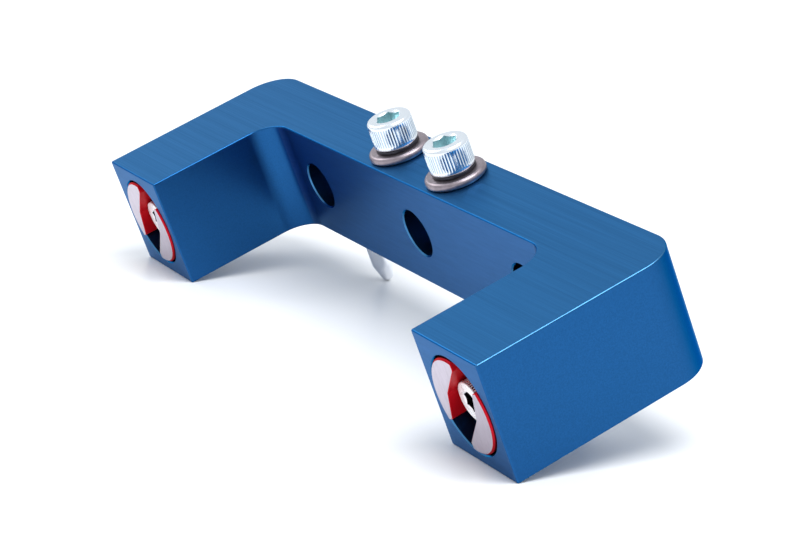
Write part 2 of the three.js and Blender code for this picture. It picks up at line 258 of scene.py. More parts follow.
def revolved(profile, columns, radius_of=None):
    """Grid of points: each profile point (r, z) goes once round the Z axis at radius r, in CCW order.
    radius_of(r, z, angle), if given, returns the radius there instead."""
    angle = 2 * math.pi * np.arange(columns) / columns
    r, z = np.asarray(profile, float).T[:, :, None]
    r = radius_of(r, z, angle[None]) if radius_of else r + 0 * angle
    return np.stack([r * np.cos(angle), r * np.sin(angle), z + 0 * angle], axis=-1)


def turned(name, profile, centre, out, finishes, columns=96, ring=False, face_finish=None):
    """A lathed piece. The profile runs from the axis at the inner end, round the outside, to the axis at
    the outer end; a ring's profile is a loop that goes up on its outside."""
    grid = revolved(profile, columns)
    faces = quads(len(grid), columns, wrap_rows=ring)
    return solid(name, seated(grid.reshape(-1, 3), centre, out), [faces], finishes, face_finish)


def cut(block, drills):
    """Subtracts the drills from the block and removes them. The cut walls take the drills' finishes."""
    for drill in drills:
        difference = block.modifiers.new("cut", "BOOLEAN")
        difference.operation = "DIFFERENCE"
        difference.solver = "EXACT"
        difference.material_mode = "TRANSFER"
        difference.object = drill
    whole = bpy.context.evaluated_depsgraph_get()
    result = bpy.data.meshes.new_from_object(block.evaluated_get(whole), depsgraph=whole)
    block.modifiers.clear()
    cleaned = bmesh.new()
    cleaned.from_mesh(result)
    bmesh.ops.remove_doubles(cleaned, verts=cleaned.verts, dist=WELD_DISTANCE)
    bmesh.ops.dissolve_degenerate(cleaned, dist=WELD_DISTANCE, edges=cleaned.edges)
    bmesh.ops.triangulate(cleaned, faces=[f for f in cleaned.faces if len(f.verts) > 4])
    cleaned.to_mesh(result)
    cleaned.free()
    block.data = result
    result.name = block.name
    for drill in drills:
        bpy.data.objects.remove(drill)
    return block


def finish_edges(piece):
    """Smooth shading with sharp edges above SHARP_ANGLE, and normals weighted by the area of the faces."""
    mesh = piece.data
    mesh.polygons.foreach_set("use_smooth", np.ones(len(mesh.polygons), bool))
    mesh.set_sharp_from_angle(angle=SHARP_ANGLE)
    weighted = piece.modifiers.new("flat faces lead", "WEIGHTED_NORMAL")
    weighted.keep_sharp = True
    return piece


def fitted(piece, body, cad_node):
    """The finished piece rides on its body and stands for its node, which it hides."""
    finish_edges(piece)
    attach(piece, body)
    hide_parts(cad_node)
    print(f"{piece.name}: {len(piece.data.polygons)} faces, rides on {body}")
    return piece


# %% [markdown]
# ## Floor and light
#
# The floor is a large pale sheet at the level that the jaw stands on. It lies a twentieth of a millimetre
# lower, because the rounded edges of the arm tips reach that far below the plain model. Metal shows little
# colour of its own and mostly what it mirrors, so the surroundings matter more than the lamps: a world
# nearly as bright as the floor, a soft panel above on the right, and a dimmer one high on the left. The
# Standard view transform keeps the white of the floor white.

# %% Floor and lights
FLOOR_SIZE = 6.0
FLOOR_LEVEL = -0.05 * MM


def plain_material(name, colour, roughness, metallic=0.0):
    """A material with one colour, roughness and metallic value all over."""
    finish = bpy.data.materials.new(name)
    finish.use_nodes = True
    shader = finish.node_tree.nodes["Principled BSDF"]
    shader.inputs["Base Color"].default_value = (*colour, 1)
    shader.inputs["Roughness"].default_value = roughness
    shader.inputs["Metallic"].default_value = metallic
    return finish


floor_mesh = bpy.data.meshes.new("floor")
side = FLOOR_SIZE / 2
floor_mesh.from_pydata([(-side, -side, FLOOR_LEVEL), (side, -side, FLOOR_LEVEL),
                        (side, side, FLOOR_LEVEL), (-side, side, FLOOR_LEVEL)], [], [(0, 1, 2, 3)])
floor_mesh.materials.append(plain_material("floor_paper", (0.86, 0.87, 0.88), 0.3))
floor = linked("floor", floor_mesh)


def panel(name, eye, aim, size, power):
    """A rectangular soft light, in metres and watts."""
    light = bpy.data.lights.new(name, "AREA")
    light.shape = "RECTANGLE"
    light.size, light.size_y = size
    light.energy = power
    lamp = linked(name, light)
    lamp.matrix_world = look(np.array(eye, float), np.array(aim, float))
    return lamp


world = bpy.data.worlds.new("studio")
world.use_nodes = True
world.node_tree.nodes["Background"].inputs["Color"].default_value = (0.92, 0.96, 1.0, 1)
world.node_tree.nodes["Background"].inputs["Strength"].default_value = 0.95
bpy.context.scene.world = world
bpy.context.scene.view_settings.view_transform = "Standard"
panel("panel_above", (0.38, 0.0, 0.95), (0, 0, 0), (0.7, 0.6), 9)
panel("panel_left", (-0.9, -0.5, 0.8), (0, 0, 0), (0.7, 0.7), 5)
print("floor at %.2f mm, two soft panels" % (FLOOR_LEVEL / MM))

# %% [markdown]
# ## Building a finish
#
# A finish is a small tree of nodes: noise in the bar's own axes, a range for it, and then the colour, the
# roughness or a bump. Cutting tools and brushes leave marks in one direction, which is a noise that is
# stretched a lot along one axis and little along the others. An image would do too, but a noise has no
# seams and no end. It reads Object coordinates, so it stays on the piece when the piece moves. Values
# that are the same all over are set on the shader itself.

# %% Node helpers
NOISE_RANGE = (0.3, 0.7)


def new_finish(name, colour, roughness, metallic=1.0, glancing=(1, 1, 1)):
    """A material whose shader is set to plain values, with its node tree and shader for further work.
    glancing tints what a metal reflects at a low angle: a dye stays in view, bare metal turns white."""
    finish = plain_material(name, colour, roughness, metallic)
    shader = finish.node_tree.nodes["Principled BSDF"]
    shader.inputs["Specular Tint"].default_value = (*glancing, 1)
    return finish, finish.node_tree, shader


def node(tree, kind, settings=None, **inputs):
    """Adds a node. settings are its own fields. inputs are numbers for its sockets, or sockets to link,
    by the socket's name or by i and its number."""
    made = tree.nodes.new(kind)
    for field, value in (settings or {}).items():
        setattr(made, field, value)
    for socket, value in inputs.items():
        numbered = socket[0] == "i" and socket[1:].isdigit()
        target = made.inputs[int(socket[1:]) if numbered else socket]
        if isinstance(value, bpy.types.NodeSocket):
            tree.links.new(value, target)
        else:
            target.default_value = value
    return made


def grain(tree, per_metre, detail=3.0):
    """Noise in the bar's own axes, from 0 to 1. per_metre is its fineness along each axis, so very
    different numbers give streaks."""
    place = node(tree, "ShaderNodeTexCoord").outputs["Object"]
    turned_back = node(tree, "ShaderNodeMapping", Vector=place, Rotation=(-LEAN, 0, 0)).outputs["Vector"]
    stretched = node(tree, "ShaderNodeMapping", Vector=turned_back, Scale=per_metre).outputs["Vector"]
    noise = node(tree, "ShaderNodeTexNoise", Vector=stretched, Scale=1.0, Detail=detail, Roughness=0.55)
    return noise.outputs["Fac"]


def spread(tree, value, low, high):
    """Maps a noise value from NOISE_RANGE, where most of it lies, to the range low to high."""
    ranged = node(tree, "ShaderNodeMapRange", Value=value)
    ranged.inputs["From Min"].default_value, ranged.inputs["From Max"].default_value = NOISE_RANGE
    ranged.inputs["To Min"].default_value, ranged.inputs["To Max"].default_value = low, high
    return ranged.outputs["Result"]


def shaded(tree, shader, value, low, high):
    """Multiplies the shader's own colour by the value, mapped to the range low to high."""
    colour = tuple(shader.inputs["Base Color"].default_value)
    mix = node(tree, "ShaderNodeVectorMath", {"operation": "SCALE"}, Scale=spread(tree, value, low, high))
    mix.inputs[0].default_value = colour[:3]
    tree.links.new(mix.outputs[0], shader.inputs["Base Color"])


def bumped(tree, shader, height, depth):
    """Raises the surface by height x depth metres, in the shading only."""
    bump = node(tree, "ShaderNodeBump", Height=height, Distance=depth, Strength=1.0)
    tree.links.new(bump.outputs["Normal"], shader.inputs["Normal"])


def roughened(tree, shader, value, low, high):
    """Lets the roughness follow the value, from low to high."""
    tree.links.new(spread(tree, value, low, high), shader.inputs["Roughness"])


# %% [markdown]
# ## Blue anodised aluminium
#
# Anodising grows a clear, hard layer on aluminium and a dye fills its pores, so the bar shines like metal
# and is blue like glass. The shader is fully metallic with the dye as its colour. The layer keeps every
# mark of the machining beneath it: long brushed streaks above and below, an even blasted grain round the
# sides, fine passes of the cutter on the front faces. Each face's blue is partly its finish and partly
# painted light: the top is painted lighter and the sides darker, as the light falls on them. A lighter
# blue on the right arm's outer edges and on the countersinks is a painted highlight, and the darker blue
# in the holes is painted shade for the little light that finds its way out of them.

# %% Blue anodised finishes
# Painted light: each face's blue is set to how bright it looks as the light falls on it, the top lightest.
BLUE_TOP = (0.024, 0.130, 0.320)
BLUE_SIDE = (0.014, 0.088, 0.250)
BLUE_FACED = (0.032, 0.100, 0.260)
DYED, PALE_DYED = (0.20, 0.45, 0.75), (0.60, 0.75, 0.90)  # what is mirrored at a low angle

blue_brushed, tree, shader = new_finish("blue_brushed", BLUE_TOP, 0.34, 1.0, PALE_DYED)
fine, broad = grain(tree, (22, 3600, 900), 4), grain(tree, (9, 620, 300), 2)
streaks = node(tree, "ShaderNodeMath", {"operation": "MULTIPLY"}, i0=fine, i1=0.6).outputs[0]
both = node(tree, "ShaderNodeMath", {"operation": "MULTIPLY_ADD"}, i0=broad, i1=0.4, i2=streaks).outputs[0]
shaded(tree, shader, both, 0.80, 1.16)
roughened(tree, shader, both, 0.42, 0.30)
bumped(tree, shader, both, 0.02 * MM)

blue_blasted, tree, shader = new_finish("blue_blasted", BLUE_SIDE, 0.28, 1.0, DYED)
specks = grain(tree, (3200, 3200, 3200), 3)
shaded(tree, shader, specks, 0.9, 1.1)
bumped(tree, shader, specks, 0.006 * MM)

blue_faced, tree, shader = new_finish("blue_faced", BLUE_FACED, 0.38, 1.0, PALE_DYED)
passes = grain(tree, (140, 400, 1500), 3)
shaded(tree, shader, passes, 0.92, 1.08)
bumped(tree, shader, passes, 0.006 * MM)

# Painted highlight: a lighter blue on the right arm's outer edges and on the countersinks.
blue_edge_painted_highlight, tree, shader = new_finish("blue_edge_painted_highlight", (0.05, 0.17, 0.34), 0.25, 1.0, DYED)
shaded(tree, shader, grain(tree, (300, 300, 300), 3), 0.8, 1.2)

# Painted shade: a darker blue for the walls of the cross holes.
blue_hole, tree, shader = new_finish("blue_hole", (0.012, 0.075, 0.20), 0.3, 1.0, DYED)
bumped(tree, shader, grain(tree, (300, 2500, 300), 3), 0.01 * MM)

# Painted shade: a still darker blue for the bores and the other drilled holes.
blue_bore, tree, shader = new_finish("blue_bore", (0.01, 0.06, 0.2), 0.3, 1.0, DYED)
bumped(tree, shader, grain(tree, (200, 2500, 200), 3), 0.01 * MM)
print("finishes of the bar:", [m.name for m in (blue_brushed, blue_blasted, blue_faced, blue_hole)])

# %% [markdown]
# ## Red plugs, bare faces and bright screws
#
# The plugs are dyed red and then faced on a lathe, which cuts the dye off and leaves bare aluminium with
# a faint pink cast. The slot walls get a brighter and less metallic copy of the same red, painted light
# that makes them look lit. The screws are zinc plated: nearly white and a little cloudy. The grooves of
# the knurl are painted darker, a painted shade, and so are the sockets, with a painted blue-green
# reflection in the sockets of the clamp screws and black in those of the plug screws.

# %% Plug and screw finishes
red_anodised, tree, shader = new_finish("red_anodised", (0.42, 0.006, 0.016), 0.32, 0.8, (1, 0.3, 0.3))
bumped(tree, shader, grain(tree, (900, 900, 900), 2), 0.004 * MM)

# Painted light: a brighter, less metallic copy of the red, so that the slot walls look lit.
red_slot_painted_light, tree, shader = new_finish("red_slot_painted_light", (0.55, 0.006, 0.014), 0.4, 0.2, (1, 0.1, 0.1))
bumped(tree, shader, grain(tree, (900, 900, 900), 2), 0.004 * MM)

bare_aluminium, tree, shader = new_finish("bare_aluminium", (0.47, 0.42, 0.49), 0.36)
lathe_marks = grain(tree, (1500, 400, 500), 3)
shaded(tree, shader, lathe_marks, 0.92, 1.05)
bumped(tree, shader, lathe_marks, 0.004 * MM)

bright_plated, tree, shader = new_finish("bright_plated", (0.80, 0.85, 0.90), 0.2)
cloudy = grain(tree, (700, 700, 700), 3)
roughened(tree, shader, cloudy, 0.15, 0.27)

plated_ring, tree, shader = new_finish("plated_ring", (0.95, 0.95, 0.97), 0.3, 0.15)
roughened(tree, shader, grain(tree, (700, 700, 700), 3), 0.22, 0.36)

# Painted shade: a darker copy of the plating for the grooves of the knurl.
knurl_groove_painted_shade, tree, shader = new_finish("knurl_groove_painted_shade", (0.42, 0.52, 0.62), 0.25)
roughened(tree, shader, grain(tree, (700, 700, 700), 3), 0.2, 0.32)

# Painted shade and a painted blue-green reflection inside the sockets of the clamp screws.
plated_socket_painted_shade, tree, shader = new_finish("plated_socket_painted_shade", (0.60, 0.77, 0.80), 0.3)
shaded(tree, shader, grain(tree, (900, 900, 900), 3), 0.85, 1.1)

# Painted shade: black inside the sockets of the plug screws.
dark_socket_painted_shade, tree, shader = new_finish("dark_socket_painted_shade", (0.05, 0.05, 0.07), 0.3)
shaded(tree, shader, grain(tree, (900, 900, 900), 3), 0.85, 1.1)

print("plug and screw finishes:", [m.name for m in (red_anodised, red_slot_painted_light, bare_aluminium, bright_plated)])

# %% [markdown]
# ## Washers, springs, pins and rubber
#
# Tumbled steel washers are grey and dull, because their scratches run every way. The lock washers are
# black. The pins are ground and polished, so they are almost mirrors. Rubber is the only piece here
# that isn't metal: dark, rough, with a fine grain.

# %% Steel and rubber finishes
grey_washer, tree, shader = new_finish("grey_washer", (0.30, 0.255, 0.28), 0.38)
tumbled = grain(tree, (900, 900, 900), 4)
shaded(tree, shader, tumbled, 0.8, 1.15)
bumped(tree, shader, tumbled, 0.008 * MM)

black_washer, tree, shader = new_finish("black_washer", (0.05, 0.05, 0.06), 0.35)
bumped(tree, shader, grain(tree, (1200, 1200, 1200), 3), 0.006 * MM)

spring_steel, tree, shader = new_finish("spring_steel", (0.50, 0.50, 0.52), 0.3)
shaded(tree, shader, grain(tree, (600, 600, 600), 3), 0.85, 1.1)

polished_pin, tree, shader = new_finish("polished_pin", (0.78, 0.80, 0.84), 0.1)
ground = grain(tree, (300, 300, 5000), 2)
roughened(tree, shader, ground, 0.07, 0.16)

black_rubber, tree, shader = new_finish("black_rubber", (0.015, 0.015, 0.016), 0.6, 0.0)
bumped(tree, shader, grain(tree, (1500, 1500, 1500), 2), 0.01 * MM)
print("steel and rubber:", [m.name for m in (grey_washer, black_washer, spring_steel, polished_pin)])

# %% [markdown]
# ## Outlines and prisms
#
# The bar is milled from a plate, so its outline is the same at every height, and only the broken edges
# above and below differ. A prism with rows of its outline says just that: each row is the outline, moved
# inwards by its own amount. A Bevel modifier could round the edges as well, but it would also round the
# edges of the holes that are cut later.

# %% Outlines and prisms
def inset(outline, amount):
    """A closed outline moved inwards by amount: each point goes along the bisector of its two sides'
    normals, divided by the cosine between them so that the sides stay parallel."""
    onward = np.roll(outline, -1, axis=0) - outline
    onward /= np.linalg.norm(onward, axis=1)[:, None]
    normal_on = np.stack([onward[:, 1], -onward[:, 0]], axis=1)
    normal_in = np.roll(normal_on, 1, axis=0)
    bisector = normal_on + normal_in
    bisector /= np.linalg.norm(bisector, axis=1)[:, None]
    reach = 1 / (bisector * normal_on).sum(axis=1)
    return outline - bisector * (reach * amount)[:, None]


def prism(outline, insets, heights):
    """Points and faces of a closed outline stacked at the given heights, each copy inset by its own
    amount, with a flat cap at each end."""
    grid = np.stack([np.column_stack([inset(outline, a), np.full(len(outline), z)])
                     for a, z in zip(insets, heights)])
    rows, columns = grid.shape[:2]
    caps = [np.arange(columns)[None, ::-1], (np.arange(columns) + (rows - 1) * columns)[None]]
    return grid.reshape(-1, 3), [quads(rows, columns), *caps]


# %% [markdown]
# ## The bar
#
# The outline has two sizes of corner that show: wide outer corners and wide fillets between the arms and
# the bridge. The corners at the arm tips are only broken. Each face then takes its finish by the way it
# faces, which is how the real surfaces came about: top and underside brushed, sides blasted, front faces
# cut. The rounded edges of the right arm's outer side take a lighter blue, a painted highlight.

# %% Bar
ARM_WIDTH = 25.4 * MM
BRIDGE_THICKNESS = 15.4 * MM
OUTER_CORNER_RADIUS = 9 * MM
INNER_FILLET_RADIUS = 7 * MM
TIP_CORNER_RADIUS = 0.4 * MM
EDGE_RADIUS = 0.35 * MM
FRONT_OF_BRIDGE = DEPTH - BRIDGE_THICKNESS
MIDDLE_OF_BRIDGE = DEPTH - BRIDGE_THICKNESS / 2
MID_HEIGHT = HEIGHT / 2


def bar_finish(normals, centres):
    """0 brushed top and underside, 1 blasted sides, 2 faced fronts, 3 painted highlight on right outer
    edges.
    """
    tilt = np.abs(normals[:, 2])
    sides = np.where(normals[:, 1] < -0.9, 2, 1)
    outward = (normals[:, 0] > 0.2) & (centres[:, 0] > 0)
    edges = (tilt > 0.25) & (tilt < 0.95) & outward
    return np.where(tilt > 0.9, 0, np.where(edges, 3, sides))


def bar_block():
    """The U outline with rounded corners, stacked with quarter-round rows at both ends."""
    gap = HALF_LENGTH - ARM_WIDTH
    corners = [(-HALF_LENGTH, 0), (-gap, 0), (-gap, FRONT_OF_BRIDGE), (gap, FRONT_OF_BRIDGE), (gap, 0),
               (HALF_LENGTH, 0), (HALF_LENGTH, DEPTH), (-HALF_LENGTH, DEPTH)]
    tip, fillet, outer = TIP_CORNER_RADIUS, INNER_FILLET_RADIUS, OUTER_CORNER_RADIUS
    outline = rounded(corners, [tip, tip, fillet, fillet, tip, tip, outer, outer], steps=24, closed=True)
    turn = np.linspace(0, math.pi / 2, 5)
    insets, heights = EDGE_RADIUS * (1 - np.sin(turn)), EDGE_RADIUS * (1 - np.cos(turn))
    points, faces = prism(outline, np.concatenate([insets, insets[::-1]]),
                          np.concatenate([heights, HEIGHT - heights[::-1]]))
    return solid("bar", points, faces, [blue_brushed, blue_blasted, blue_faced, blue_edge_painted_highlight], bar_finish)


bar = bar_block()
print("bar block:", len(bar.data.polygons), "faces")

# %% [markdown]
# ## Holes
#
# Three holes go straight through the bridge for the guide rods and the spindle of the vise. Each arm tip
# has a wide bore for its plug, a tapped insert hole behind it, and room for the screw's end. The bridge
# has two tapped holes from above and two blind holes from below for the pins. Every hole is a turned
# drill that is taken from the bar with the exact boolean. A hole's countersink is a part of its drill, so
# both are cut at once, and a drill reaches past the face that it enters by OVERCUT, so that no two faces
# lie in one plane.

# %% Holes
CROSS_HOLE_RADIUS = 5.5 * MM
CROSS_HOLE_SPACING = 47 * MM
CROSS_HOLE_CHAMFER = 0.3 * MM
BORE_RADIUS, BORE_DEPTH, BORE_CHAMFER = 10.7 * MM, 13.6 * MM, 0.25 * MM
SCREW_HOLE_RADIUS, SCREW_HOLE_CHAMFER = 3.1 * MM, 0.5 * MM
PIN_HOLE_RADIUS, PIN_HOLE_DEPTH, PIN_HOLE_CHAMFER = 2.6 * MM, 6 * MM, 0.1 * MM
INSERT_GAP = 0.1 * MM
RUN_OUT_RADIUS, RUN_OUT = 2.7 * MM, 3 * MM
OVERCUT = 1 * MM


def drill(name, centre, out, radius, depth, chamfer=0.0, far_chamfer=None, finish=blue_bore,
          columns=96):
    """A drill that enters at centre against out. Its mouth is a 45 degree countersink; a through drill has
    the same countersink at its far end. A blue drill's cones take the lighter blue of a painted highlight."""
    if far_chamfer is None:
        profile = [(0, -depth), (radius, -depth)]
    else:
        far = radius + far_chamfer + OVERCUT
        profile = [(0, -depth - OVERCUT), (far, -depth - OVERCUT), (radius, -depth + far_chamfer)]
    profile += [(radius, -chamfer), (radius + chamfer + OVERCUT, OVERCUT), (0, OVERCUT)]
    edge = blue_edge_painted_highlight if finish in (blue_hole, blue_bore) else finish
    return turned(name, profile, centre, out, [finish, edge], columns,
                  face_finish=lambda normals, centres: np.abs(np.abs(normals @ out) - 0.7) < 0.2)


def middle(cad_node):
    """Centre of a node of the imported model, along the bar's axes."""
    low, high = span(cad_node)
    return (low + high) / 2


drills = []
for i in (-1, 0, 1):
    mouth = (i * CROSS_HOLE_SPACING, FRONT_OF_BRIDGE, MID_HEIGHT)
    drills.append(drill(f"cross_hole_{i}", mouth, OUT_OF_TIP, CROSS_HOLE_RADIUS, BRIDGE_THICKNESS,
                        CROSS_HOLE_CHAMFER, CROSS_HOLE_CHAMFER, blue_hole))
for side in ("left", "right"):
    plug_x = middle(f"{side}_jaw_plug")[0]
    clamp_x = middle(f"{side}_clamp_screw")[0]
    pin_x = middle(f"{side}_locating_pin")[0]
    drills.append(drill(f"{side}_bore", (plug_x, 0, MID_HEIGHT), OUT_OF_TIP,
                        BORE_RADIUS, BORE_DEPTH, BORE_CHAMFER, columns=128))
    drills.append(drill(f"{side}_screw_hole", (clamp_x, MIDDLE_OF_BRIDGE, HEIGHT), OUT_OF_TOP,
                        SCREW_HOLE_RADIUS, HEIGHT, SCREW_HOLE_CHAMFER, SCREW_HOLE_CHAMFER, columns=64))
    drills.append(drill(f"{side}_pin_hole", (pin_x, MIDDLE_OF_BRIDGE, 0), OUT_OF_UNDERSIDE,
                        PIN_HOLE_RADIUS, PIN_HOLE_DEPTH, PIN_HOLE_CHAMFER, columns=64))
    insert_low, insert_high = span(f"{side}_thread_insert")
    screw_end = span(f"{side}_plug_screw")[1][1]
    insert_radius = (insert_high[0] - insert_low[0]) / 2 + INSERT_GAP
    drills.append(drill(f"{side}_insert_hole", (plug_x, 0, MID_HEIGHT), OUT_OF_TIP, insert_radius,
                        insert_high[1] + INSERT_GAP, columns=64))
    drills.append(drill(f"{side}_run_out_hole", (plug_x, 0, MID_HEIGHT), OUT_OF_TIP, RUN_OUT_RADIUS,
                        screw_end + RUN_OUT, columns=64))
cut(bar, drills)
fitted(bar, "frame", "jaw_frame")

# %% [markdown]
# ## Plugs
#
# A plug is a short turned cylinder with a groove for its O-ring and a slot across its face. A circuit
# board's corner goes into the slot, and the plug turns until the slot lines up with the board. The slot
# is narrow at two necks, wide in the middle, where the head of a screw has to pass, and wide at the rim.
# The cylinder is turned, and the slot is a prism on a closed outline, cut out of it like the holes of the
# bar. Its walls carry a brighter copy of the red, a painted light, and the flat face in front stays bare
# metal.

# %% Plugs
PLUG_RADIUS, PLUG_LENGTH, PLUG_PROUD, PLUG_CHAMFER = 10.4 * MM, 13 * MM, 0.4 * MM, 0.35 * MM
GROOVE_NEAR, GROOVE_FAR, GROOVE_RADIUS = 8.7 * MM, 10.6 * MM, 9.1 * MM
SLOT_ANGLE = math.radians(58)
SLOT_DEPTH = 7 * MM
SLOT_BEND, SLOT_NECK, SLOT_NECK_AT = np.array([-1.1, 4.7]) * MM, 3.1 * MM, 8.2 * MM
SLOT_LOBE_DEPTH = 1.6 * MM
SLOT_LIP = 0.12 * MM
PLUG_HOLE_RADIUS = 2.75 * MM


def slot_cutter(name, centre):
    """The slot as a prism: each wall bends once near the middle, narrows to a neck, and opens again in a
    round lobe at the rim. Its top flares by 45 degrees to break the edge of the face."""
    mouth, beyond = SLOT_NECK + SLOT_LOBE_DEPTH, PLUG_RADIUS + 2 * MM
    lobe = PLUG_RADIUS - 0.3 * MM
    wall = np.array([(-beyond, mouth), (-lobe, mouth), (-SLOT_NECK_AT, SLOT_NECK), SLOT_BEND,
                     (SLOT_NECK_AT, SLOT_NECK), (lobe, mouth), (beyond, mouth)])
    corners = np.concatenate([wall[::-1], -wall[::-1]])
    radii = np.array([0, 0.6, 1.2, 1.5, 1.2, 0.6, 0]) * MM
    outline = rounded(corners, np.concatenate([radii, radii]), steps=8, closed=True)
    floor_at = PLUG_PROUD - SLOT_DEPTH
    points, faces = prism(outline, [0, 0, -SLOT_LIP - OVERCUT],
                          [floor_at, PLUG_PROUD - SLOT_LIP, PLUG_PROUD + OVERCUT])
    turn_cos, turn_sin = math.cos(SLOT_ANGLE), math.sin(SLOT_ANGLE)
    points[:, :2] = points[:, :2] @ np.array([[turn_cos, turn_sin], [-turn_sin, turn_cos]])
    return solid(name, seated(points, centre, OUT_OF_TIP), faces, [red_slot_painted_light])


def plug(side):
    """The turned plug, less its slot and the hole for its screw."""
    centre = (middle(f"{side}_jaw_plug")[0], 0, MID_HEIGHT)
    back = PLUG_PROUD - PLUG_LENGTH
    c = PLUG_CHAMFER
    corners = [(0, back), (PLUG_RADIUS, back), (PLUG_RADIUS, -GROOVE_FAR), (GROOVE_RADIUS, -GROOVE_FAR),
               (GROOVE_RADIUS, -GROOVE_NEAR), (PLUG_RADIUS, -GROOVE_NEAR), (PLUG_RADIUS, PLUG_PROUD - c),
               (PLUG_RADIUS - c, PLUG_PROUD), (0, PLUG_PROUD)]
    profile = rounded(corners, np.array([0, 0.4, 0.1, 0.15, 0.15, 0.1, 0.1, 0.1, 0]) * MM)
    piece = turned(f"{side}_plug", profile, centre, OUT_OF_TIP, [red_anodised, bare_aluminium], 160,
                   face_finish=lambda normals, centres: (normals[:, 1] < -0.99) & (centres[:, 1] < 0))
    hole = drill("plug_hole", centre, OUT_OF_TIP, PLUG_HOLE_RADIUS, PLUG_LENGTH, finish=red_anodised,
                 columns=64)
    cut(piece, [slot_cutter("plug_slot", centre), hole])
    return fitted(piece, f"{side}_plug", f"{side}_jaw_plug")


for side in ("left", "right"):
    plug(side)

# %% [markdown]
# ## Screw threads
#
# A thread is a ridge that climbs by one pitch in each turn. On a grid that is simple: columns go once
# round, rows climb, and every point is lifted a little more than the one before it, so the last column
# meets the first one a full turn higher. Blender's Screw modifier makes the same shape, but a grid lets
# the thread fade into the neck and the tip with one formula, so that the screw stays a single closed
# surface.

# %% Screw threads
SCREW_COLUMNS = 192
KNURL_RIDGES, KNURL_DEPTH, KNURL_FADE = 48, 0.11 * MM, 0.15 * MM
THREAD_ROWS = 8


def thread_grid(start, end, pitch, radius, depth, taper):
    """A screw thread as one grid. Rows climb by a fraction of the pitch and columns go once round, each
    point lifted by pitch x angle / 2 pi, so the last column meets the first one a full turn higher. The
    ridge is a trapezoid wave along the axis, and it fades to the root over taper at both ends."""
    turns = int(math.ceil((end - start) / pitch)) + 1
    i = np.arange(turns * THREAD_ROWS + 1)[:, None]
    angle = 2 * math.pi * np.arange(SCREW_COLUMNS + 1)[None] / SCREW_COLUMNS
    z = np.clip(start + pitch * (i / THREAD_ROWS - 1 + angle / (2 * math.pi)), start, end)
    phase = (i % THREAD_ROWS) / THREAD_ROWS
    ridge = np.clip(1.3 - 2.9 * np.abs(phase - 0.5), 0, 1) + 0 * angle
    fade = np.clip((z - start) / taper, 0, 1) * np.clip((end - z) / taper, 0, 1)
    r = radius - depth + depth * ridge * fade
    return np.stack([r * np.cos(angle), r * np.sin(angle), z], axis=-1)


print("screws have", SCREW_COLUMNS, "columns and", KNURL_RIDGES, "ridges")

# %% [markdown]
# ## Cap screws
#
# The screws are socket head cap screws, forged and rolled from wire. A screw is turned like the rest,
# but two stretches of its profile aren't round: the knurl, whose radius dips between ridges that fingers
# can grip, and the socket, whose radius is that of a hexagon, half its width / cos(angle to the nearest
# flat). So `revolved` takes a function for the radius there. Grooves and socket take darker finishes,
# a painted shade.

